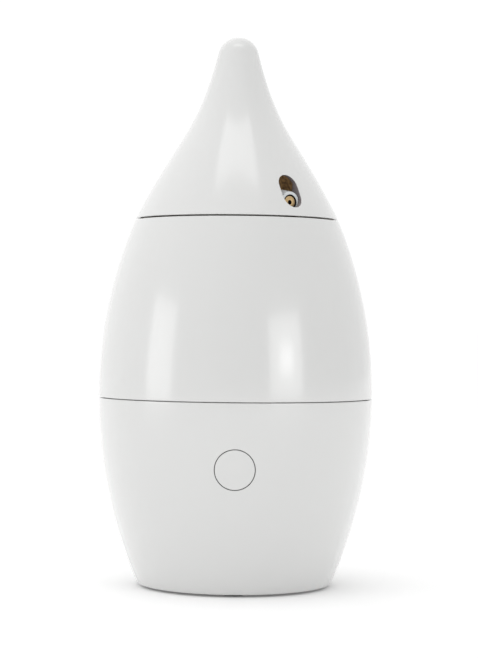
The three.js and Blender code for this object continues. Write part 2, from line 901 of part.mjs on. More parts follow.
const boardBack = behindButton(boardFront + boardThickness + gap + leadRadius);
const boardLow = buttonHeight - boardHeight / 2 + 3;
piece(
  "motor_lead",
  rubberBlack(),
  hose(
    [
      [motorRear - 1.8, pumpY + 6, pumpHeight],
      [motorRear - 6, pumpY - 8, pumpHeight + 6],
      [motorRear + 8, pumpY - 34, boardLow - 4],
      [-20, boardBack, boardLow],
      [-16, boardBack, boardLow + 3],
    ],
    leadRadius,
    0,
    12,
  ),
);
piece(
  "inlet_lead",
  rubberBlack(),
  hose(
    [
      [0, insideInlet(inletRear + gap), inletHeight],
      [0, insideInlet(inletRear + 3), inletHeight],
      [10, insideInlet(inletRear + 7), inletHeight + 2],
      [headFront + 16, pumpY + 14, inletHeight + 6],
      [headFront + 14, pumpY - 22, pumpHeight + 6],
      [20, boardBack, boardLow],
      [16, boardBack, boardLow + 3],
    ],
    leadRadius,
    0,
    16,
  ),
);
piece(
  "sensor_lead",
  rubberBlack(),
  hose(
    [
      [floatX, floatY - sensorHalfLength - gap, sensorLevel],
      [floatX, floatY - 2 * sensorHalfLength, sensorLevel - 2],
      [-24, boardBack + 6, buttonHeight + boardHeight / 2 - 2],
      [-20, boardBack, buttonHeight + boardHeight / 2 - 8],
    ],
    thinLeadRadius,
    0,
    10,
  ),
);

// ---------------------------------------------------------------- swivel ring and carrier plate

const swivelOuter = sideAt(tankTop, wall) - 3;
const swivelInner = swivelOuter - ringWall;
const skirtOuter = swivelInner - swivelGap;
const skirtInner = skirtOuter - ringWall;
const skirtBottom = plateBottom - skirtDrop;
const swivelTop = plateBottom - ringDrop;
const swivelFloorTop = neckTop - beadDrop - gap - 0.5;
const keys = around(3, 1, 30);

piece(
  "swivel_ring",
  innerWhite(),
  union(
    turnedRing([
      [neckRadius + gap, shoulderTop + gap],
      [swivelOuter, shoulderTop + gap],
      [swivelOuter, swivelTop],
      [swivelInner, swivelTop],
      [swivelInner, swivelFloorTop],
      [neckRadius + gap, swivelFloorTop],
    ]),
    ...keys.map(({ angle }) =>
      radialBlock(
        angle,
        skirtInner - 1,
        swivelOuter - 1,
        keyWidth,
        swivelFloorTop - 1,
        skirtBottom + keyHeight - 0.5,
      ),
    ),
  ),
  { group: capGroup },
);

const nozzleFace = capAt(nozzleHeight) - nozzleRecess; // distance of the nozzle's face from the axis
const pivotY = nozzleArm - nozzleFace;
const guideEnd = nozzleFace - guideReach;
const cheekInner = holderFlat + cheekGap;
const cheekOuter = cheekInner + cheekThickness;
const bracketScrewX = cheekOuter + bracketScrewOut;
const bracketScrewY = pivotY + cheekBack;
const plateBossDrop = 4;
const spigotNeck = 6;

// The plate closes the cap's lower end. It is open under the nozzle holder and it drains back to the tank.
function capPlate() {
  const plateRadius = capAt(plateTop, wall) - gap;
  const plate = turnedRing([
    [spigotNeck + gap, plateBottom],
    [skirtInner, plateBottom],
    [skirtInner, skirtBottom],
    [skirtOuter, skirtBottom],
    [skirtOuter, plateBottom],
    [plateRadius, plateBottom],
    [plateRadius, plateTop],
    [spigotNeck + gap, plateTop],
  ]);
  const bosses = [-1, 1].map((side) => {
    const x = side * bracketScrewX;
    return rod([x, bracketScrewY, plateBottom - plateBossDrop], [x, bracketScrewY, plateTop], 3);
  });
  const windowHalf = holderFlat + cheekGap;
  const window = block(
    [-windowHalf, -bellyRadius, plateBottom - 1],
    [windowHalf, pivotY + 6.5, plateTop + 1],
  );
  return cut(
    union(plate, ...bosses),
    window,
    ...keys.map(({ angle }) =>
      radialBlock(
        angle,
        skirtInner - 2,
        skirtOuter + 1,
        keyWidth + 2 * swivelGap,
        skirtBottom - 1,
        skirtBottom + keyHeight + 0.2,
      ),
    ),
    ...around(3, drainSpan, 90).map(({ x, y }) =>
      rod([x, y, plateBottom - 1], [x, y, plateTop + 1], drainRadius, 12),
    ),
    ...[-1, 1].map((side) => {
      const x = side * bracketScrewX;
      return rod([x, bracketScrewY, plateBottom - 3], [x, bracketScrewY, plateTop + 1], screwHole, 12);
    }),
  );
}

piece("cap_plate", innerWhite(), capPlate(), { group: capGroup });

// ---------------------------------------------------------------- cap shell

// The slot's outline, grown by an amount all round, swept outwards from a distance in front of the axis.
function slotSweep(grow, from) {
  const radius = slotWidth / 2 + grow;
  const reach = (slotHigh - slotLow - slotWidth) / 2;
  const middle = (slotHigh + slotLow) / 2;
  const outline = new THREE.Shape()
    .absarc(0, middle + reach, radius, 0, Math.PI)
    .absarc(0, middle - reach, radius, Math.PI, 2 * Math.PI);
  const depth = bellyRadius - from;
  const sweep = new THREE.ExtrudeGeometry(outline, { depth, bevelEnabled: false, curveSegments: 8 });
  return solid(sweep.rotateX(Math.PI / 2).translate(0, -from, 0));
}

// Walls reach inwards from both sides of the slot; above and below it they leave room for the nozzle's swing.
function capShell() {
  const shell = turned([...capOutline(wall, 7, 2).reverse(), ...capOutline(0, 9, 3)]);
  const swing = rod(
    [-slotWidth / 2, pivotY, nozzleHeight],
    [slotWidth / 2, pivotY, nozzleHeight],
    Math.hypot(nozzleArm, holderTip) + gap,
    40,
  );
  const guides = cut(slotSweep(guideWall, guideEnd).intersect(capSpace(wall / 2)), swing);
  const stopInner = capAt(plateTop, wall) - stopDepth;
  const stopOuter = capAt(plateTop) + stopDepth; // beyond the cap's surface, trimmed below
  const stops = around(3, 1, 90).map(({ angle }) =>
    radialBlock(angle, stopInner, stopOuter, stopWidth, plateTop + gap, plateTop + stopHeight)
      .intersect(capSpace(wall / 2)),
  );
  return cut(union(shell, guides, ...stops), slotSweep(0, guideEnd - wall));
}

piece("cap_shell", bodyWhite(), capShell(), { group: capGroup });

// ---------------------------------------------------------------- water feed in the cap

const spigotRadius = riserBore - 1.1;
const spigotBottom = riserTop - 15;
const grooveFloor = spigotRadius - 1;
const grooveLow = spigotBottom + 4;
const ringSection = 0.7;
const flangeTop = plateTop + gap + 1.6;
const feedTop = flangeTop + 7;

piece(
  "feed_spigot",
  innerWhite(),
  turnedRing(
    [
      [boreRadius, spigotBottom],
      [spigotRadius - 0.5, spigotBottom],
      [spigotRadius, spigotBottom + 1],
      [spigotRadius, grooveLow],
      [grooveFloor, grooveLow],
      [grooveFloor, grooveLow + 2],
      [spigotRadius, grooveLow + 2],
      [spigotRadius, plateBottom - 3],
      [spigotNeck, plateBottom - 2],
      [spigotNeck, plateTop + gap],
      [spigotNeck + 2, plateTop + gap],
      [spigotNeck + 2, flangeTop],
      [nippleRadius, flangeTop],
      [nippleRadius, feedTop],
      [boreRadius, feedTop],
    ],
    16,
  ),
  { group: capGroup },
);

piece(
  "spigot_oring",
  sealRed(),
  solid(new THREE.TorusGeometry(grooveFloor + gap + ringSection, ringSection, 6, 16)),
  { group: capGroup, at: [0, 0, grooveLow + 1] },
);

const nippleEnd = cheekOuter + 8;
piece(
  "feed_hose",
  silicone(),
  hose(
    [
      [0, 0, flangeTop + 0.7],
      [0, 0, feedTop],
      [0, 0, feedTop + 4],
      [-4, -2, feedTop + 10],
      [-12, -6, feedTop + 14],
      [-22, pivotY / 2, feedTop + 12],
      [-nippleEnd - 11, pivotY + 3, nozzleHeight + 8],
      [-nippleEnd - 8, pivotY, nozzleHeight + 1.5],
      [-nippleEnd - 2, pivotY, nozzleHeight],
      [-nippleEnd + 1, pivotY, nozzleHeight],
      [-cheekOuter - 1, pivotY, nozzleHeight],
    ],
    hoseOuter,
    hoseInner,
    22,
  ),
  { group: capGroup },
);

// ---------------------------------------------------------------- nozzle and its bracket

const bracketLow = plateTop + gap;
const bracketTop = nozzleHeight + cheekTop;
const tabTop = bracketLow + tabThickness;
const neckEnd = 6; // from the pivot to where the holder starts to widen

function nozzleBracket() {
  const cheeks = [-1, 1].map((side) => {
    const [near, far] = [side * cheekInner, side * cheekOuter].sort((a, b) => a - b);
    return block([near, pivotY - cheekFront, bracketLow], [far, pivotY + cheekBack, bracketTop]);
  });
  const bridge = block(
    [-cheekOuter, pivotY + cheekBack - bridgeThickness, bracketLow],
    [cheekOuter, pivotY + cheekBack, bracketTop],
  );
  const tabs = [-1, 1].map((side) => {
    const ends = [side * (cheekOuter - 0.5), side * (bracketScrewX + 3.5)].sort((a, b) => a - b);
    return block([ends[0], pivotY + tabFront, bracketLow], [ends[1], pivotY + tabBack, tabTop]);
  });
  const pivotHole = rod(
    [-cheekOuter - 1, pivotY, nozzleHeight],
    [cheekOuter + 1, pivotY, nozzleHeight],
    trunnionRadius + gap,
  );
  const screwHoles = [-1, 1].map((side) => {
    const x = side * bracketScrewX;
    return rod([x, bracketScrewY, bracketLow - 1], [x, bracketScrewY, tabTop + 1], screwHole, 12);
  });
  return cut(union(...cheeks, bridge, ...tabs), pivotHole, ...screwHoles);
}

piece("nozzle_bracket", moulding(), nozzleBracket(), { group: capGroup });

[-1, 1].forEach((side, i) => {
  const top = tabTop + gap + screwHeadHeight;
  piece(`bracket_screw_${i + 1}`, steel(), screw(top - plateBottom + 2.5), {
    group: capGroup,
    at: [side * bracketScrewX, bracketScrewY, top],
    turn: [Math.PI, 0, 0],
  });
});

// Holder, nozzle and seal are drawn along Z from the tilt pivot and then laid down to point along -Y.
const laidDown = { group: capGroup, at: [0, pivotY, nozzleHeight], turn: [Math.PI / 2, 0, 0] };

function nozzleHolder() {
  const widest = nozzleArm - holderTaper;
  const body = turned(
    [
      [0, -holderBack],
      [holderFlat, -holderBack],
      [holderFlat, neckEnd],
      [holderBelly, widest - 3],
      [holderBelly, widest],
      [holderTip, nozzleArm - nozzleSink],
      [holderTip - nozzleSink, nozzleArm],
      [0, nozzleArm],
    ],
    32,
  ).intersect(block([-holderFlat, -bellyRadius, -holderBack], [holderFlat, bellyRadius, nozzleArm]));
  return cut(
    union(
      body,
      rod([-cheekOuter, 0, 0], [cheekOuter, 0, 0], trunnionRadius),
      rod([-nippleEnd, 0, 0], [0, 0, 0], nippleRadius),
    ),
    rod([0, 0, nozzleArm - seatDepth], [0, 0, nozzleArm + 1], nozzleRadius + gap, 24),
    rod([0, 0, 0], [0, 0, nozzleArm], boreRadius, 12),
    rod([-nippleEnd - 1, 0, 0], [0, 0, 0], boreRadius, 12),
  );
}

piece("nozzle_holder", innerWhite(), nozzleHolder(), laidDown);
const sealLow = nozzleArm - seatDepth + gap;
piece(
  "nozzle_seal",
  rubberBlack(),
  washer(boreRadius, nozzleRadius, sealLow, sealLow + sealThickness, 20),
  laidDown,
);

const nozzleBase = sealLow + sealThickness + gap;
const nozzleTip = nozzleArm - nozzleSink;
piece(
  "spray_nozzle",
  brass(),
  turnedRing(
    [
      [orificeRadius, nozzleBase],
      [nozzleRadius, nozzleBase],
      [nozzleRadius, nozzleTip - nozzleChamfer],
      [nozzleRadius - nozzleChamfer, nozzleTip],
      [orificeMouth, nozzleTip],
      [orificeMouth, nozzleTip - orificeDepth],
      [orificeRadius, nozzleTip - orificeDepth],
    ],
    20,
  ),
  laidDown,
);

export default humidifier;
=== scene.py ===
# Looks of the cool mist humidifier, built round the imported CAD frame.
#
# Metres, +Z up, the body's axis on Z, the power button facing -Y. The large turned pieces are rebuilt as
# fine meshes on the same outlines as the CAD, with rounded edges; pieces whose CAD shape is right keep it
# and get a better material.

import json
import math

import bmesh
import bpy
import numpy as np
from mathutils import Matrix, Vector


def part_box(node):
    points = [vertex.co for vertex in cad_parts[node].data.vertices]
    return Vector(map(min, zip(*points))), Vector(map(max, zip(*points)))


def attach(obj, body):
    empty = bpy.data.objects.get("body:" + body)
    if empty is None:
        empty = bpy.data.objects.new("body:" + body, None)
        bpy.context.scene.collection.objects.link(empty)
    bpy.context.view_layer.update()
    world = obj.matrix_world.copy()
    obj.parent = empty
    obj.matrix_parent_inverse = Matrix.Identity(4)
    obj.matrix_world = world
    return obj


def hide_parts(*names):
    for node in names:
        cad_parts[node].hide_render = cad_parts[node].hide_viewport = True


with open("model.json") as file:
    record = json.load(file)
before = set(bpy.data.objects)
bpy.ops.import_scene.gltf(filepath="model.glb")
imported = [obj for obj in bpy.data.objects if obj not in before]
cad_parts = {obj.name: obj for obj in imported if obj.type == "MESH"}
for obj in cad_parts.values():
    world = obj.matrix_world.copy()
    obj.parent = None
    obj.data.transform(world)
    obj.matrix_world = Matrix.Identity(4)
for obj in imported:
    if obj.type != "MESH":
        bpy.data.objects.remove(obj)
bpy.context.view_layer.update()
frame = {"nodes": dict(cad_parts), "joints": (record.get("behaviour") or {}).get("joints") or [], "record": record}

MM = 0.001

# ---------------------------------------------------------------- sizes

# Outline of the body, as in the CAD source.
BELLY_HEIGHT = 103.4 * MM
SIDE_RADIUS = 250 * MM
TIP_RADIUS = 11.3 * MM
TIP_ANGLE = 0.25
CAP_SLOPE = 0.5
CAP_LOWER_PULL = 0.52
CAP_UPPER_PULL = 0.475
WALL = 2.6 * MM
GAP = 0.3 * MM


def low(node):
    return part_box(node)[0]


def high(node):
    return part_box(node)[1]


HEIGHT = high("cap_shell").z
CAP_BOTTOM = low("cap_shell").z
TANK_TOP = high("tank_shell").z
TANK_BOTTOM = low("tank_shell").z
BASE_TOP = high("base_housing").z
BASE_BOTTOM = low("base_housing").z
BELLY_RADIUS = high("tank_shell").x

# Slot in the cap and the nozzle behind it.
SLOT_LOW = 204.5 * MM
SLOT_HIGH = 222.1 * MM
SLOT_WIDTH = 11.8 * MM
GUIDE_END = 42 * MM  # distance from the axis to the inner ends of the walls beside the slot
GUIDE_WALL = 1.6 * MM

joints = {joint["name"]: joint for joint in frame["joints"]}
pivot = Vector(joints["nozzle_tilt"]["pos_m"])
NOZZLE_TURN = math.atan2(pivot.x, -pivot.y)

SHARP = math.radians(38)  # edges steeper than this stay sharp in the shading

# Search for the point where a line along an opening meets a surface, from before to after its middle.
SEARCH_BEFORE = 30 * MM
SEARCH_AFTER = 14 * MM
HALVINGS = 45


# ---------------------------------------------------------------- outlines

def side_radius(z, inset=0.0):
    """Radius of base and tank at a height, on a surface inset from the outside."""
    return BELLY_RADIUS - SIDE_RADIUS + np.sqrt((SIDE_RADIUS - inset) ** 2 - (z - BELLY_HEIGHT) ** 2)


def cap_curve(inset, steps=400):
    """Points of the cap's flank from its lower edge to where the dome starts, inset from the outside."""
    height = HEIGHT - CAP_BOTTOM
    start = np.array([side_radius(CAP_BOTTOM), CAP_BOTTOM])
    end = np.array(
        [TIP_RADIUS * math.cos(TIP_ANGLE), HEIGHT - TIP_RADIUS + TIP_RADIUS * math.sin(TIP_ANGLE)]
    )
    leave = np.array([-CAP_SLOPE, 1]) / math.hypot(CAP_SLOPE, 1)
    arrive = np.array([-math.sin(TIP_ANGLE), math.cos(TIP_ANGLE)])
    first = start + CAP_LOWER_PULL * height * leave
    second = end - CAP_UPPER_PULL * height * arrive
    t = np.linspace(0, 1, steps)[:, None]
    on = (1 - t) ** 3 * start + 3 * (1 - t) ** 2 * t * first + 3 * (1 - t) * t**2 * second + t**3 * end
    along = 3 * (1 - t) ** 2 * (first - start)
    along += 6 * (1 - t) * t * (second - first)
    along += 3 * t**2 * (end - second)
    along /= np.linalg.norm(along, axis=1)[:, None]
    return on + inset * np.column_stack([-along[:, 1], along[:, 0]])


def cap_radius(z, inset=0.0):
    """Radius of the cap's flank at a height."""
    curve = cap_curve(inset)
    return np.interp(z, curve[:, 1], curve[:, 0])


def dome(inset, steps):
    """Points of the rounded tip, from the flank to the apex."""
    angles = np.linspace(TIP_ANGLE, math.pi / 2, steps)
    radius = TIP_RADIUS - inset
    points = [(radius * math.cos(a), HEIGHT - TIP_RADIUS + radius * math.sin(a)) for a in angles]
    points[-1] = (0.0, points[-1][1])
    return points


def rounded(corners, closed=True, steps=5):
    """Rounds the corners of a section given as (radius, height, rounding)."""
    points = []
    count = len(corners)
    for i, (r, z, rounding) in enumerate(corners):
        if rounding == 0 or (not closed and i in (0, count - 1)):
            points.append((r, z))
            continue
        here = np.array([r, z])
        before = np.array(corners[i - 1][:2]) - here
        after = np.array(corners[(i + 1) % count][:2]) - here
        start = here + before * min(0.49, rounding / np.linalg.norm(before))
        end = here + after * min(0.49, rounding / np.linalg.norm(after))
        for t in np.linspace(0, 1, steps + 1):
            points.append(tuple((1 - t) ** 2 * start + 2 * (1 - t) * t * here + t**2 * end))
    return points


def plain(run):
    """Points that keep their corners, for rounded()."""
    return [(r, z, 0) for r, z in run]


# ---------------------------------------------------------------- meshes

def make_piece(name, bm, material, body, replaces=(), place=None):
    """Turns a bmesh into a smooth-shaded piece that rides on a body."""
    bmesh.ops.recalc_face_normals(bm, faces=bm.faces)
    if place is not None:
        bm.transform(place)
    for face in bm.faces:
        face.smooth = True
    for edge in bm.edges:
        edge.smooth = edge.calc_face_angle(0.0) < SHARP
    mesh = bpy.data.meshes.new(name)
    bm.to_mesh(mesh)
    bm.free()
    mesh.materials.append(material)
    obj = bpy.data.objects.new(name, mesh)
    bpy.context.scene.collection.objects.link(obj)
    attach(obj, body)
    if replaces:
        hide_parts(*replaces)
    return obj


def ring_of(bm, radius, z, columns):
    """A ring of vertices round Z, or one vertex on the axis."""
    if radius < 1e-7:
        return [bm.verts.new((0, 0, z))]
    angles = [2 * math.pi * i / columns for i in range(columns)]
    return [bm.verts.new((radius * math.cos(a), radius * math.sin(a), z)) for a in angles]


def bridge(bm, first, second):
    """Faces between two rings with the same number of vertices, or between a ring and a single vertex."""
    if len(first) == 1 and len(second) == 1:
        return
    if len(first) == 1:
        first, second = second, first
    count = len(first)
    for i in range(count):
        following = (i + 1) % count
        if len(second) == 1:
            bm.faces.new((first[i], first[following], second[0]))
        else:
            bm.faces.new((first[i], first[following], second[following], second[i]))


def turned(points, columns=160, closed=True):
    """A bmesh turned about Z from (radius, height) points."""
    bm = bmesh.new()
    rings = [ring_of(bm, r, z, columns) for r, z in points]
    pairs = list(zip(rings, rings[1:]))
    if closed:
        pairs.append((rings[-1], rings[0]))
    for first, second in pairs:
        bridge(bm, first, second)
    return bm


class Opening:
    """A straight hole with a rounded rim, cut through a turned shell."""

    def __init__(self, centre, inward, half_width, half_reach, rim, guide_end=None):
        self.centre = np.array(centre)
        self.inward = np.array(Vector(inward).normalized())
        self.across = np.cross(self.inward, (0, 0, 1))
        self.across /= np.linalg.norm(self.across)
        self.along = np.cross(self.across, self.inward)
        self.half_width = half_width
        self.half_reach = half_reach
        self.rim = rim
        self.guide_end = guide_end

    def outline(self, angles, grow=0.0):
        """Points of the outline, a stadium, in the given directions from its middle."""
        radius = self.half_width + grow
        reach = self.half_reach - self.half_width
        cos, sin = np.cos(angles), np.abs(np.sin(angles))
        straight = radius / np.maximum(np.abs(cos), 1e-9)
        tip = reach * sin + np.sqrt(np.maximum(radius**2 - (reach * cos) ** 2, 0))
        distance = np.where(straight * sin <= reach, straight, tip)
        return distance * np.cos(angles), distance * np.sin(angles)

    def on_surface(self, angles, grow, radius_at):
        """Where the outline's lines along the hole meet a surface of revolution, found by halving."""
        x, y = self.outline(angles, grow)
        start = self.centre + np.outer(x, self.across) + np.outer(y, self.along)
        near = np.full(len(angles), -SEARCH_BEFORE)
        far = np.full(len(angles), SEARCH_AFTER)
        for _ in range(HALVINGS):
            middle = (near + far) / 2
            at = start + np.outer(middle, self.inward)
            outside = np.hypot(at[:, 0], at[:, 1]) > radius_at(at[:, 2])
            near = np.where(outside, middle, near)
            far = np.where(outside, far, middle)
        return start + np.outer((near + far) / 2, self.inward)

    def surrounds(self, point, margin):
        """Whether a point lies in the opening or within a margin round it, on the opening's side."""
        offset = np.array(point) - self.centre
        in_width = abs(offset @ self.across) < self.half_width + margin
        in_reach = abs(offset @ self.along) < self.half_reach + margin
        return in_width and in_reach and np.dot(point, self.inward) < 0

    def angles_of(self, points):
        """Directions of points from the hole's middle, seen along the hole."""
        offset = points - self.centre
        return np.arctan2(offset @ self.along, offset @ self.across)


def block_of(rings, rows, columns):
    """Vertices round the edge of a block of a ring grid, counter-clockwise seen from outside."""
    left, right = columns
    width = len(rings[rows[0]])
    bottom, top = rows[0], rows[-1]
    loop = [rings[bottom][c % width] for c in range(left, right)]
    loop += [rings[row][right % width] for row in rows[:-1]]
    loop += [rings[top][c % width] for c in range(right, left, -1)]
    loop += [rings[row][left % width] for row in rows[:0:-1]]
    return loop


def shell(points, openings, outer_at, inner_at, columns, closed):
    """A turned shell with openings; the surfaces round each opening are re-laid to follow its outline."""
    bm = bmesh.new()
    rings = [ring_of(bm, r, z, columns) for r, z in points]
    skipped = set()
    for opening in openings:
        reach = opening.half_reach + 6 * MM
        middle = math.atan2(opening.centre[1], opening.centre[0])
        centre_column = round(middle / (2 * math.pi) * columns)
        z_half = reach * abs(opening.along[2])
        z_mid = opening.centre[2]
        spacing = 2 * math.pi * outer_at(z_mid) / columns
        half = math.ceil((opening.half_width + 5 * MM) / spacing)
        block = (centre_column - half, centre_column + half)
        loops = []
        for radius_at in (outer_at, inner_at):
            rows = [
                i
                for i, (r, z) in enumerate(points)
                if abs(z - z_mid) < z_half and abs(r - radius_at(z)) < 1e-6
            ]
            rows.sort(key=lambda i: points[i][1])
            loops.append(block_of(rings, rows, block))
            step = 1 if rows[0] < rows[-1] else -1
            for row in rows[:-1]:
                lower = row if step == 1 else row - 1
                skipped.update((lower, c % columns) for c in range(*block))
        lay_opening(bm, opening, loops, middle, outer_at, inner_at)
    count = len(rings)
    last = count if closed else count - 1
    for row in range(last):
        lower, upper = rings[row], rings[(row + 1) % count]
        if len(lower) == 1 or len(upper) == 1:
            bridge(bm, lower, upper)
            continue
        for c in range(columns):
            if (row, c) in skipped:
                continue
            d = (c + 1) % columns
            bm.faces.new((lower[c], lower[d], upper[d], upper[c]))
    loose = [vert for vert in bm.verts if not vert.link_faces]
    bmesh.ops.delete(bm, geom=loose, context="VERTS")
    return bm


def lay_guides(opening, angles, last, follow, outer_at, inner_at):
    """Walls that reach inwards from both sides of an opening to one plane across its axis."""
    edge = opening.on_surface(angles, 0, outer_at)
    wall_end = (opening.on_surface(angles, 0, inner_at) - edge) @ opening.inward
    to_plane = (-(edge @ opening.inward)) - opening.guide_end
    beside = np.clip((np.abs(np.cos(angles)) - 0.72) / 0.2, 0, 1)
    depth = wall_end + np.maximum(to_plane - wall_end, 0) * beside
    for share in (0.35, 0.7, 1):
        last = follow(last, edge + np.outer(depth * share, opening.inward))
    grown = opening.on_surface(angles, GUIDE_WALL, outer_at)
    grown += np.outer((edge - grown) @ opening.inward + depth, opening.inward)
    return follow(last, grown)


def lay_opening(bm, opening, loops, middle, outer_at, inner_at, rings_between=9, rim_steps=5):
    """Fills the block round an opening on both surfaces and joins them by its walls."""
    outer_loop, inner_loop = loops
    angles = opening.angles_of(np.array([vert.co for vert in outer_loop]))

    def add_ring(points):
        return [bm.verts.new(point) for point in points]

    def blend_rings(loop, target, radius_at):
        """Rings on the surface from a block's perimeter to the opening's edge."""
        edge = np.array([vert.co for vert in loop])
        turn_from = np.angle(np.exp(1j * (np.arctan2(edge[:, 1], edge[:, 0]) - middle)))
        turn_to = np.angle(np.exp(1j * (np.arctan2(target[:, 1], target[:, 0]) - middle)))
        last = loop
        for t in np.linspace(0, 1, rings_between + 1)[1:]:
            turn = middle + turn_from * (1 - t) + turn_to * t
            z = edge[:, 2] * (1 - t) + target[:, 2] * t
            r = radius_at(z)
            new = add_ring(np.column_stack([r * np.cos(turn), r * np.sin(turn), z]))
            bridge(bm, last, new)
            last = new
        return last

    def follow(last, points):
        new = add_ring(points)
        bridge(bm, last, new)
        return new

    rim = opening.rim
    last = blend_rings(outer_loop, opening.on_surface(angles, rim, outer_at), outer_at)
    for a in np.linspace(0, math.pi / 2, rim_steps + 1)[1:]:
        points = opening.on_surface(angles, rim * (1 - math.sin(a)), outer_at)
        last = follow(last, points + opening.inward * rim * (1 - math.cos(a)))
    inner_edge = opening.on_surface(angles, 0, inner_at)
    if opening.guide_end is not None:
        last = lay_guides(opening, angles, last, follow, outer_at, inner_at)
        inner_edge = opening.on_surface(angles, GUIDE_WALL, inner_at)
    inner_last = blend_rings(inner_loop, inner_edge, inner_at)
    bridge(bm, last, inner_last)


# ---------------------------------------------------------------- materials

def principled(name, roughness, metallic=0.0):
    material = bpy.data.materials.new(name)
    material.use_nodes = True
    shader = material.node_tree.nodes["Principled BSDF"]
    shader.inputs["Roughness"].default_value = roughness
    shader.inputs["Metallic"].default_value = metallic
    return material, shader


def noise(material, scale, detail=3.0, stretch=(1, 1, 1)):
    """A noise pattern fixed to the object."""
    tree = material.node_tree
    coordinates = tree.nodes.new("ShaderNodeTexCoord")
    mapping = tree.nodes.new("ShaderNodeMapping")
    mapping.inputs["Scale"].default_value = stretch
    pattern = tree.nodes.new("ShaderNodeTexNoise")
    pattern.inputs["Scale"].default_value = scale
    pattern.inputs["Detail"].default_value = detail
    tree.links.new(coordinates.outputs["Object"], mapping.inputs["Vector"])
    tree.links.new(mapping.outputs["Vector"], pattern.inputs["Vector"])
    return pattern.outputs["Fac"]


def vary(material, shader, factor, socket, low_value, high_value):
    """Drives a number between two values by a pattern."""
    tree = material.node_tree
    spread = tree.nodes.new("ShaderNodeMapRange")
    spread.inputs["From Min"].default_value = 0.3
    spread.inputs["From Max"].default_value = 0.7
    spread.inputs["To Min"].default_value = low_value
    spread.inputs["To Max"].default_value = high_value
    tree.links.new(factor, spread.inputs["Value"])
    tree.links.new(spread.outputs["Result"], shader.inputs[socket])


def tint(material, shader, factor, first, second):
    """Mixes two colours by a pattern."""
    tree = material.node_tree
    ramp = tree.nodes.new("ShaderNodeValToRGB")
    ramp.color_ramp.elements[0].position = 0.3
    ramp.color_ramp.elements[0].color = (*first, 1)
    ramp.color_ramp.elements[1].position = 0.7
    ramp.color_ramp.elements[1].color = (*second, 1)
    tree.links.new(factor, ramp.inputs["Fac"])
    tree.links.new(ramp.outputs["Color"], shader.inputs["Base Color"])


def emboss(material, shader, factor, depth, strength=1.0):
    tree = material.node_tree
    bump = tree.nodes.new("ShaderNodeBump")
    bump.inputs["Distance"].default_value = depth
    bump.inputs["Strength"].default_value = strength
    tree.links.new(factor, bump.inputs["Height"])
    tree.links.new(bump.outputs["Normal"], shader.inputs["Normal"])


def moulded(name, color, roughness, grain=0.02 * MM, grain_scale=900, spread=0.03):
    """Moulded plastic or rubber: faint mottling, uneven gloss and a fine skin."""
    material, shader = principled(name, roughness)
    darker = tuple(c * (1 - spread) for c in color)
    tint(material, shader, noise(material, 22, 4), darker, color)
    vary(material, shader, noise(material, 55, 3), "Roughness", roughness * 0.88, roughness * 1.12)
    emboss(material, shader, noise(material, grain_scale, 2), grain, 0.35)
    return material


def machined(name, color, roughness, stretch=(1, 1, 30)):
    """Metal with fine turning or drawing marks."""
    material, shader = principled(name, roughness, 1.0)
    darker = tuple(c * 0.85 for c in color)
    marks = noise(material, 260, 4, stretch)
    tint(material, shader, marks, darker, color)
    vary(material, shader, noise(material, 400, 2), "Roughness", roughness * 0.75, roughness * 1.3)
    emboss(material, shader, marks, 0.03 * MM, 0.3)
    return material


BODY_WHITE = moulded("body_white_gloss", (0.643, 0.645, 0.638), 0.22, 0.004 * MM, 500, 0.006)
BODY_WHITE.node_tree.nodes["Principled BSDF"].inputs["Coat Weight"].default_value = 1.0
BODY_WHITE.node_tree.nodes["Principled BSDF"].inputs["Coat Roughness"].default_value = 0.13
HOLDER_WHITE = moulded("holder_white", (0.6, 0.62, 0.63), 0.42)
INNER_WHITE = moulded("inner_white", (0.62, 0.62, 0.6), 0.5)
# Dark brown painted shade with a painted glow for the inside of the white cap, where only shade falls.
CAP_PAINTED_SHADE_AND_GLOW = moulded("cap_inside_painted_shade_and_glow", (0.35, 0.22, 0.12), 0.6, 0.05 * MM, 400, 0.3)
# Grey-violet painted shade for the walls inside the slot, which are the cap's white plastic in shade.
SLOT_WALL_SHADE = moulded("slot_wall_painted_shade", (0.25, 0.22, 0.225), 0.5)
MOULDING = moulded("dark_moulding", (0.05, 0.048, 0.046), 0.55, 0.04 * MM, 500, 0.15)
RUBBER = moulded("black_rubber", (0.022, 0.022, 0.024), 0.8, 0.06 * MM, 600, 0.2)
SEAL = moulded("red_seal", (0.26, 0.06, 0.04), 0.6, 0.03 * MM, 700, 0.15)
SILICONE = moulded("silicone", (0.6, 0.63, 0.62), 0.4, 0.02 * MM, 500, 0.05)
FLOAT = moulded("float_foam", (0.75, 0.5, 0.12), 0.7, 0.1 * MM, 900, 0.12)
BOARD = moulded("board_laminate", (0.015, 0.1, 0.045), 0.45, 0.03 * MM, 1200, 0.25)
STEEL = machined("drawn_steel", (0.55, 0.56, 0.58), 0.3)
BRASS = machined("turned_brass", (0.62, 0.44, 0.23), 0.34, (1, 1, 1))
# Near-black painted shade for the nozzle's orifice, its edge and the seat round it, where shade falls in the gap
# and hollow.
NOZZLE_PAINTED_SHADE = moulded("nozzle_painted_shade", (0.012, 0.008, 0.007), 0.6)

LOOK_OF_SLOT = {
    "body_white": BODY_WHITE,
    "inner_white": INNER_WHITE,
    "rubber_black": RUBBER,
    "seal_red": SEAL,
    "steel": STEEL,
    "brass": BRASS,
    "board_green": BOARD,
    "moulding": MOULDING,
    "silicone": SILICONE,
    "float_yellow": FLOAT,
}
slot_of = {part["node"]: part["material_slot"] for part in frame["record"]["subparts"]}
for node, obj in frame["nodes"].items():
    obj.data.materials.clear()
    obj.data.materials.append(LOOK_OF_SLOT[slot_of[node]])


# ---------------------------------------------------------------- base housing

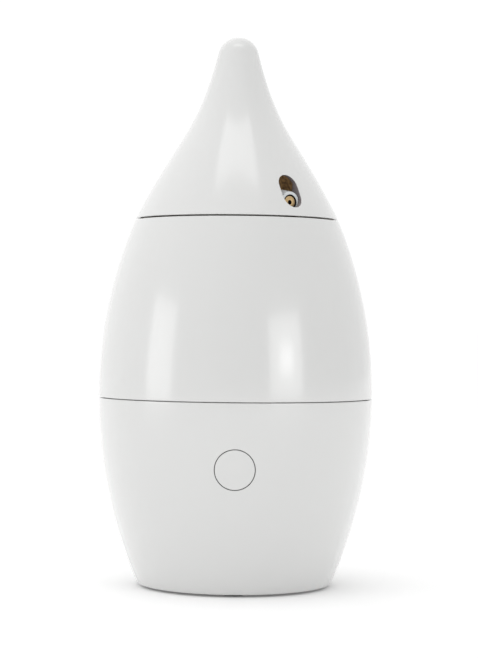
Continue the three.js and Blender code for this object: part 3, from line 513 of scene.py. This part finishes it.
BUTTON_HOLE = 10.7 * MM
BUTTON_GAP = 0.35 * MM
BUTTON_EDGE = 0.45 * MM  # rounding of the button's face
BUTTON_DEPTH = 6.5 * MM
BUTTON_HOLLOW = 0.5  # inner ring of the button's back, as a share of its radius
INLET_HOLE = 5.8 * MM
LEDGE_TOP = BASE_TOP - 3.4 * MM
LEDGE_BOTTOM = LEDGE_TOP - 2.5 * MM
LEDGE_WIDTH = 12 * MM


def base_outer(z):
    return side_radius(z)


def base_inner(z):
    return side_radius(z, WALL)


def button_opening():
    box_low, box_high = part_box("power_button")
    height = (box_low.z + box_high.z) / 2
    return Opening(
        (0, -side_radius(height), height), (0, 1, 0), BUTTON_HOLE, BUTTON_HOLE, rim=0.35 * MM
    )


def inlet_opening():
    box_low, box_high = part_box("power_inlet")
    height = (box_low.z + box_high.z) / 2
    return Opening((0, side_radius(height), height), (0, -1, 0), INLET_HOLE, INLET_HOLE, rim=0.6 * MM)


def build_base_housing():
    heights = np.linspace(BASE_BOTTOM + 1.8 * MM, LEDGE_BOTTOM - 1 * MM, 66)
    upper = np.linspace(LEDGE_BOTTOM, BASE_TOP - 0.8 * MM, 5)
    ledge_inner = base_inner(LEDGE_TOP) - LEDGE_WIDTH
    section = rounded(
        [
            (base_outer(BASE_BOTTOM), BASE_BOTTOM, 1.6 * MM),
            *plain((base_outer(z), z) for z in heights),
            *plain((base_outer(z), z) for z in upper),
            (base_outer(BASE_TOP), BASE_TOP, 0.5 * MM),
            (base_inner(BASE_TOP), BASE_TOP, 0.3 * MM),
            (base_inner(LEDGE_TOP), LEDGE_TOP, 0),
            (ledge_inner, LEDGE_TOP, 0.3 * MM),
            (ledge_inner, LEDGE_BOTTOM, 0.3 * MM),
            (base_inner(LEDGE_BOTTOM), LEDGE_BOTTOM, 0),
            *plain((base_inner(z), z) for z in heights[::-1]),
            (base_inner(BASE_BOTTOM), BASE_BOTTOM, 0.4 * MM),
        ]
    )
    bm = shell(section, [button_opening(), inlet_opening()], base_outer, base_inner, 256, closed=True)
    make_piece("base_housing_skin", bm, BODY_WHITE, "base", ["base_housing"])


def build_button():
    """A face that follows the housing's surface, with a rounded edge and a skirt behind it."""
    opening = button_opening()
    radius = BUTTON_HOLE - BUTTON_GAP
    columns = 128
    angles = np.linspace(0, 2 * math.pi, columns, endpoint=False)
    circle = Opening(opening.centre, opening.inward, radius, radius, rim=0)
    bm = bmesh.new()
    last = [bm.verts.new((0, opening.centre[1], opening.centre[2]))]

    def follow(grow, inward):
        nonlocal last
        points = circle.on_surface(angles, grow, base_outer) + circle.inward * inward
        ring = [bm.verts.new(point) for point in points]
        bridge(bm, ring, last)
        last = ring

    for share in np.linspace(0.05, 1, 18):
        follow(-radius + (radius - BUTTON_EDGE) * share, 0)
    for a in np.linspace(0, math.pi / 2, 7)[1:]:
        follow(-BUTTON_EDGE * (1 - math.sin(a)), BUTTON_EDGE * (1 - math.cos(a)))
    back = opening.centre[1] + BUTTON_DEPTH
    for reach in (radius, radius - 0.6 * MM, radius * BUTTON_HOLLOW):
        x, z = reach * np.cos(angles), opening.centre[2] + reach * np.sin(angles)
        ring = [bm.verts.new((px, back, pz)) for px, pz in zip(x, z)]
        bridge(bm, ring, last)
        last = ring
    bridge(bm, last, [bm.verts.new((0, back, opening.centre[2]))])
    make_piece("button_face", bm, BODY_WHITE, "button", ["power_button"])


# ---------------------------------------------------------------- tank

SHOULDER_TOP = TANK_TOP - 12.6 * MM
SHOULDER_BOTTOM = SHOULDER_TOP - WALL
STEP_WIDTH = 2.5 * MM  # step inside the wall, over the shoulder
STEP_HEIGHT = 1.2 * MM
STEP_RUN = 3.7 * MM  # from the step up to where the wall has its full inner radius
LEDGE_REACH = 4 * MM  # ledge inside the wall, over the gasket
LEDGE_HEIGHT = 2 * MM
LEDGE_RUN = 6 * MM
NECK_RADIUS = 40 * MM
NECK_WALL = 2.4 * MM
NECK_TOP = SHOULDER_TOP + 7.5 * MM
BEAD_WIDTH = 1 * MM
BEAD_DROP = 1.5 * MM  # from the neck's top down to the foot of the bead


def build_tank():
    outer = np.linspace(TANK_BOTTOM + 0.8 * MM, TANK_TOP - 0.8 * MM, 60)
    step = SHOULDER_TOP + GAP
    step_radius = side_radius(step, WALL) - STEP_WIDTH
    above = np.linspace(TANK_TOP - 0.6 * MM, step + STEP_RUN, 5)
    ledge = high("tank_gasket").z + GAP
    ledge_radius = side_radius(ledge, WALL) - LEDGE_REACH
    below = np.linspace(step, ledge + LEDGE_RUN, 24)
    section = rounded(
        [
            (side_radius(TANK_BOTTOM), TANK_BOTTOM, 0.4 * MM),
            *plain((side_radius(z), z) for z in outer),
            (side_radius(TANK_TOP), TANK_TOP, 0.5 * MM),
            (side_radius(TANK_TOP, WALL), TANK_TOP, 0.4 * MM),
            *plain((side_radius(z, WALL), z) for z in above),
            (step_radius, step + STEP_HEIGHT, 0.2 * MM),
            (step_radius, step, 0.2 * MM),
            *plain((side_radius(z, WALL), z) for z in below),
            (ledge_radius, ledge + LEDGE_HEIGHT, 0.3 * MM),
            (ledge_radius, ledge, 0.3 * MM),
            (side_radius(ledge, WALL), ledge, 0),
            (side_radius(TANK_BOTTOM, WALL), TANK_BOTTOM, 0.3 * MM),
        ]
    )
    make_piece("tank_skin", turned(section, 256), BODY_WHITE, "base", ["tank_shell"])


def build_neck():
    """The shoulder and the neck round the filling mouth, with the bead that holds the swivel ring."""
    bore = NECK_RADIUS - NECK_WALL
    edge = high("tank_neck").x
    section = rounded(
        [
            (bore, SHOULDER_BOTTOM, 1 * MM),
            (edge, SHOULDER_BOTTOM, 0.3 * MM),
            (edge, SHOULDER_TOP, 0.3 * MM),
            (NECK_RADIUS, SHOULDER_TOP, 0.2 * MM),
            (NECK_RADIUS, NECK_TOP - BEAD_DROP, 0.2 * MM),
            (NECK_RADIUS + BEAD_WIDTH, NECK_TOP - BEAD_DROP + 0.3 * MM, 0.2 * MM),
            (NECK_RADIUS + BEAD_WIDTH, NECK_TOP - 0.4 * MM, 0.2 * MM),
            (NECK_RADIUS, NECK_TOP, 0.4 * MM),
            (bore, NECK_TOP, 0.6 * MM),
        ]
    )
    make_piece("neck_skin", turned(section, 192), BODY_WHITE, "base", ["tank_neck"])


# ---------------------------------------------------------------- cap

PAINTED_SHADE_DEPTH = 0.6  # share of the wall beyond which a point of the tip gets the painted shade
PAINTED_SHADE_OFF = 0.15 * MM  # how far from the inner surface a face with the painted shade may lie
PAINTED_SHADE_FACING = 0.6  # least share of a painted-shade face's normal that points at the axis
RIM_DEPTH = 0.6 * MM  # from the surface in to where the slot walls' painted shade starts


def slot_opening():
    height = (SLOT_LOW + SLOT_HIGH) / 2
    out = Vector((math.sin(NOZZLE_TURN), -math.cos(NOZZLE_TURN), 0))
    middle = out * cap_radius(height)
    middle.z = height
    half_reach = (SLOT_HIGH - SLOT_LOW) / 2
    return Opening(middle, -out, SLOT_WIDTH / 2, half_reach, rim=0.3 * MM, guide_end=GUIDE_END)


def cap_outer(z):
    return cap_radius(z)


def cap_inner(z):
    return cap_radius(z, WALL)


def paint_glow_inside_cap(material):
    """Paints a faint mottled brown glow on the cap's inside, as emission on a surface that is no lamp, seen
    through the slot.
    """
    shader = material.node_tree.nodes["Principled BSDF"]
    tree = material.node_tree
    mottle = tree.nodes.new("ShaderNodeValToRGB")
    mottle.color_ramp.elements[0].position = 0.42
    mottle.color_ramp.elements[0].color = (0.018, 0.013, 0.008, 1)
    mottle.color_ramp.elements[1].position = 0.6
    mottle.color_ramp.elements[1].color = (0.1, 0.063, 0.028, 1)
    tree.links.new(noise(material, 620, 2), mottle.inputs["Fac"])
    tree.links.new(mottle.outputs["Color"], shader.inputs["Emission Color"])
    shader.inputs["Emission Strength"].default_value = 1


def build_cap():
    inner_curve = cap_curve(WALL)
    inner_top = inner_curve[-1, 1]
    outer_top = cap_curve(0)[-1, 1]
    heights = np.arange(CAP_BOTTOM + 1 * MM, outer_top - 0.4 * MM, 1.25 * MM)
    inner_heights = heights[heights < inner_top - 0.4 * MM]
    section = rounded(
        [
            *plain(dome(WALL, 9)[::-1]),
            *plain((cap_inner(z), z) for z in inner_heights[::-1]),
            (cap_inner(CAP_BOTTOM), CAP_BOTTOM, 0.3 * MM),
            (cap_outer(CAP_BOTTOM), CAP_BOTTOM, 0.6 * MM),
            *plain((cap_outer(z), z) for z in heights),
            *plain(dome(0, 16)),
        ],
        closed=False,
    )
    bm = shell(section, [slot_opening()], cap_outer, cap_inner, 300, closed=False)
    cap = make_piece("cap_skin", bm, BODY_WHITE, "cap", ["cap_shell"])
    paint_glow_inside_cap(CAP_PAINTED_SHADE_AND_GLOW)
    cap.data.materials.append(CAP_PAINTED_SHADE_AND_GLOW)
    cap.data.materials.append(SLOT_WALL_SHADE)
    outer_curve = cap_curve(0)
    slot = slot_opening()
    for face in cap.data.polygons:
        at = face.center
        radius = math.hypot(at.x, at.y)
        facing = abs(face.normal.x * at.x + face.normal.y * at.y) / radius
        off_inner_surface = abs(radius - np.interp(at.z, inner_curve[:, 1], inner_curve[:, 0]))
        depth = np.interp(at.z, outer_curve[:, 1], outer_curve[:, 0]) - radius
        from_tip = math.hypot(radius, at.z - HEIGHT + TIP_RADIUS)
        in_tip = at.z > inner_top and from_tip < TIP_RADIUS - PAINTED_SHADE_DEPTH * WALL
        on_flank = at.z <= inner_top and off_inner_surface < PAINTED_SHADE_OFF and facing > PAINTED_SHADE_FACING
        # The cap's inner faces get the dark brown painted shade and painted glow.
        if in_tip or on_flank:
            face.material_index = 1
        # Faces inside the slot's walls get the grey painted shade.
        elif depth > RIM_DEPTH and slot.surrounds(at, GUIDE_WALL + 1 * MM):
            face.material_index = 2


# ---------------------------------------------------------------- nozzle

NOZZLE_PLACE = Matrix.Translation(pivot) @ Matrix.Rotation(NOZZLE_TURN, 4, "Z") @ Matrix.Rotation(
    math.pi / 2, 4, "X"
)
NOZZLE_ARM = 26 * MM
NOZZLE_RADIUS = 3.8 * MM
NOZZLE_CHAMFER = 0.5 * MM
ORIFICE_MOUTH = 1.2 * MM
SEAT_DEPTH = 8 * MM
HOLDER_TIP = 5.7 * MM
HOLDER_BELLY = 7.3 * MM
HOLDER_TAPER = 8.8 * MM
HOLDER_FLAT = 5.1 * MM
HOLDER_BACK = 4 * MM
HOLDER_NECK = 6 * MM  # from the pivot to where the holder starts to widen
NOZZLE_SINK = 0.4 * MM  # from the holder's face in to the nozzle's face
NOZZLE_BACK = 1.6 * MM  # from the seat's floor to the nozzle's back
ORIFICE_DEPTH = 2 * MM
ORIFICE_BORE = 0.4 * MM
TRUNNION_RADIUS = 2.6 * MM
TRUNNION_HALF = 8.4 * MM
NIPPLE_RADIUS = 2.2 * MM
NIPPLE_END = 16.4 * MM
NIPPLE_BORE = 1.2 * MM
NIPPLE_BORE_DEPTH = 4 * MM


def is_in_seat(at):
    """Whether a point of the holder lies on the walls of the nozzle's seat, which get the near-black painted
    shade.
    """
    return math.hypot(at.x, at.y) < NOZZLE_RADIUS + 1.2 * GAP and at.z > NOZZLE_ARM - SEAT_DEPTH - GAP


def build_holder():
    """The tapered holder: open seat in front, waist between the bracket's cheeks."""
    seat = NOZZLE_RADIUS + GAP
    section = rounded(
        [
            (0, -HOLDER_BACK, 0),
            (HOLDER_FLAT, -HOLDER_BACK, 0.6 * MM),
            (HOLDER_FLAT, HOLDER_NECK, 1.5 * MM),
            (HOLDER_BELLY, NOZZLE_ARM - HOLDER_TAPER - 3 * MM, 1.5 * MM),
            (HOLDER_BELLY, NOZZLE_ARM - HOLDER_TAPER, 1.5 * MM),
            (HOLDER_TIP + 0.05 * MM, NOZZLE_ARM - 0.5 * MM, 0),
            (HOLDER_TIP, NOZZLE_ARM, 0.5 * MM),
            (seat, NOZZLE_ARM, 0.25 * MM),
            (seat, NOZZLE_ARM - SEAT_DEPTH, 0.3 * MM),
            (0, NOZZLE_ARM - SEAT_DEPTH, 0),
        ],
        closed=False,
    )
    bm = turned(section, 128, closed=False)
    for vert in bm.verts:
        x, y = vert.co.xy
        radius = math.hypot(x, y)
        if abs(x) > HOLDER_FLAT:
            vert.co.x = math.copysign(HOLDER_FLAT, x)
            vert.co.y = math.copysign(math.sqrt(max(radius**2 - HOLDER_FLAT**2, y**2)), y)
    in_seat = [is_in_seat(face.calc_center_median()) for face in bm.faces]
    holder = make_piece(
        "nozzle_holder_body",
        bm,
        HOLDER_WHITE,
        "nozzle",
        ["nozzle_holder"],
        NOZZLE_PLACE,
    )
    # The seat's walls get the near-black painted shade.
    holder.data.materials.append(NOZZLE_PAINTED_SHADE)
    for face, dark in zip(holder.data.polygons, in_seat):
        face.material_index = int(dark)


def build_trunnion():
    """The cross shaft that the holder tilts on, with the hollow end that the feed hose is pushed over."""
    bore_end = NIPPLE_END - NIPPLE_BORE_DEPTH
    section = rounded(
        [
            (0, -TRUNNION_HALF, 0),
            (TRUNNION_RADIUS, -TRUNNION_HALF, 0.3 * MM),
            (TRUNNION_RADIUS, TRUNNION_HALF, 0.3 * MM),
            (NIPPLE_RADIUS, TRUNNION_HALF, 0),
            (NIPPLE_RADIUS, NIPPLE_END, 0.3 * MM),
            (NIPPLE_BORE, NIPPLE_END, 0.1 * MM),
            (NIPPLE_BORE, bore_end, 0),
            (0, bore_end, 0),
        ],
        closed=False,
    )
    place = NOZZLE_PLACE @ Matrix.Rotation(-math.pi / 2, 4, "Y")
    make_piece(
        "nozzle_trunnion",
        turned(section, 40, closed=False),
        HOLDER_WHITE,
        "nozzle",
        place=place,
    )


def is_dark(at, front):
    """Whether a point of the nozzle gets the near-black painted shade: in its orifice, on its chamfered edge and
    sides, or behind its face.
    """
    radius = math.hypot(at.x, at.y)
    on_edge = radius > NOZZLE_RADIUS - NOZZLE_CHAMFER
    return radius < ORIFICE_MOUTH + 0.02 * MM or on_edge or at.z < front - 0.2 * MM


def build_nozzle():
    """Turned brass nozzle: flat face with a chamfered edge and the orifice's mouth."""
    back = NOZZLE_ARM - SEAT_DEPTH + NOZZLE_BACK
    front = NOZZLE_ARM - NOZZLE_SINK
    section = rounded(
        [
            (ORIFICE_BORE, back, 0),
            (NOZZLE_RADIUS, back, 0.3 * MM),
            (NOZZLE_RADIUS, front - NOZZLE_CHAMFER, 0.15 * MM),
            (NOZZLE_RADIUS - NOZZLE_CHAMFER, front, 0.15 * MM),
            (ORIFICE_MOUTH, front, 0.08 * MM),
            (ORIFICE_MOUTH, front - ORIFICE_DEPTH, 0.1 * MM),
            (ORIFICE_BORE, front - ORIFICE_DEPTH, 0),
        ]
    )
    bm = turned(section, 96)
    darkened = [is_dark(face.calc_center_median(), front) for face in bm.faces]
    tip = make_piece("nozzle_tip", bm, BRASS, "nozzle", ["spray_nozzle"], NOZZLE_PLACE)
    # The orifice, edge, sides and back of the nozzle get the near-black painted shade.
    tip.data.materials.append(NOZZLE_PAINTED_SHADE)
    for face, dark in zip(tip.data.polygons, darkened):
        face.material_index = int(dark)


# ---------------------------------------------------------------- stage, light and camera

FLOOR_HALF = 60


def build_floor():
    bm = bmesh.new()
    bmesh.ops.create_grid(bm, x_segments=2, y_segments=2, size=FLOOR_HALF)
    mesh = bpy.data.meshes.new("floor")
    bm.to_mesh(mesh)
    bm.free()
    material, shader = principled("floor_white", 0.9)
    shader.inputs["Base Color"].default_value = (0.95, 0.95, 0.95, 1)
    shader.inputs["Emission Color"].default_value = (1, 1, 1, 1)
    shader.inputs["Emission Strength"].default_value = 0.06
    mesh.materials.append(material)
    floor = bpy.data.objects.new("floor", mesh)
    bpy.context.scene.collection.objects.link(floor)


def softbox(name, azimuth, elevation, distance, width, height, radiance):
    """A rectangular light aimed at the middle of the object; azimuth is in degrees right of the front."""
    light = bpy.data.lights.new(name, "AREA")
    light.shape = "RECTANGLE"
    light.size = width
    light.size_y = height
    light.energy = radiance * math.pi * width * height
    target = Vector((0, 0, 0.15))
    turn = math.radians(azimuth)
    rise = math.radians(elevation)
    toward = Vector((math.sin(turn) * math.cos(rise), -math.cos(turn) * math.cos(rise), math.sin(rise)))
    obj = bpy.data.objects.new(name, light)
    obj.location = target + toward * distance
    obj.rotation_euler = toward.to_track_quat("Z", "Y").to_euler()
    bpy.context.scene.collection.objects.link(obj)


DIM_SIDE = Vector((0.7, -0.7, 0))  # the dimmest direction, to the front and right
BRIGHT_STRENGTH = 1.02
DIM_STRENGTH = 0.55
OVERHEAD_STRENGTH = 0.42  # added straight overhead, falling off with the square of the height


def build_world():
    """Surroundings: white behind the object, dimmer in front and to the right, brightest overhead."""
    world = bpy.data.worlds.new("studio")
    world.use_nodes = True
    tree = world.node_tree
    background = tree.nodes["Background"]
    background.inputs["Color"].default_value = (1, 1, 1, 1)
    direction = tree.nodes.new("ShaderNodeTexCoord").outputs["Generated"]

    facing = tree.nodes.new("ShaderNodeVectorMath")
    facing.operation = "DOT_PRODUCT"
    facing.inputs[1].default_value = DIM_SIDE
    tree.links.new(direction, facing.inputs[0])
    strength = tree.nodes.new("ShaderNodeMapRange")
    strength.inputs["From Min"].default_value = -0.6
    strength.inputs["From Max"].default_value = 0.8
    strength.inputs["To Min"].default_value = BRIGHT_STRENGTH
    strength.inputs["To Max"].default_value = DIM_STRENGTH
    tree.links.new(facing.outputs["Value"], strength.inputs["Value"])

    upward = tree.nodes.new("ShaderNodeSeparateXYZ")
    tree.links.new(direction, upward.inputs[0])
    squared = tree.nodes.new("ShaderNodeMath")
    squared.operation = "MULTIPLY"
    for socket in squared.inputs[:2]:
        tree.links.new(upward.outputs["Z"], socket)
    overhead = tree.nodes.new("ShaderNodeMath")
    overhead.operation = "MULTIPLY_ADD"
    overhead.inputs[1].default_value = OVERHEAD_STRENGTH
    tree.links.new(squared.outputs["Value"], overhead.inputs[0])
    tree.links.new(strength.outputs["Result"], overhead.inputs[2])
    tree.links.new(overhead.outputs["Value"], background.inputs["Strength"])
    bpy.context.scene.world = world


def build_light():
    """Two upright boxes beside the camera, a small bright one inside the right, and one over the front."""
    softbox("left_strip", -65, 8, 1.6, 0.68, 0.68, 1.7)
    softbox("right_strip", 42, 8, 1.6, 0.8, 0.6, 1.85)
    softbox("right_core", 42, 7, 1.55, 0.3, 0.2, 2.6)
    softbox("front_top", -1, 71, 1.8, 1.3, 0.4, 1.3)
    bpy.context.scene.view_settings.view_transform = "Standard"


# The camera as it stood for the photograph: nearly level with the middle of the object.
FOCAL_PIXELS = 1920.6
FRAME_WIDTH, FRAME_HEIGHT = 478, 659
CAMERA_DISTANCE = 1054.3 * MM
CAMERA_HEIGHT = 142.56 * MM
CAMERA_PITCH = -0.0026
CAMERA_ROLL = 0.0091
AXIS_OFFSET_PIXELS = 2.95  # the object's axis stands this far left of the picture's middle


def build_camera():
    camera = bpy.data.cameras.new("camera")
    camera.sensor_width = 36
    camera.lens = FOCAL_PIXELS * camera.sensor_width / max(FRAME_WIDTH, FRAME_HEIGHT)
    obj = bpy.data.objects.new("camera", camera)
    yaw = -AXIS_OFFSET_PIXELS / FOCAL_PIXELS
    turn = (
        Matrix.Rotation(yaw, 4, "Z")
        @ Matrix.Rotation(math.pi / 2 + CAMERA_PITCH, 4, "X")
        @ Matrix.Rotation(CAMERA_ROLL, 4, "Z")
    )
    obj.matrix_world = Matrix.Translation((0, -CAMERA_DISTANCE, CAMERA_HEIGHT)) @ turn
    bpy.context.scene.collection.objects.link(obj)
    bpy.context.scene.camera = obj


build_camera()
build_base_housing()
build_button()
build_tank()
build_neck()
build_cap()
build_holder()
build_trunnion()
build_nozzle()
build_floor()
build_world()
build_light()
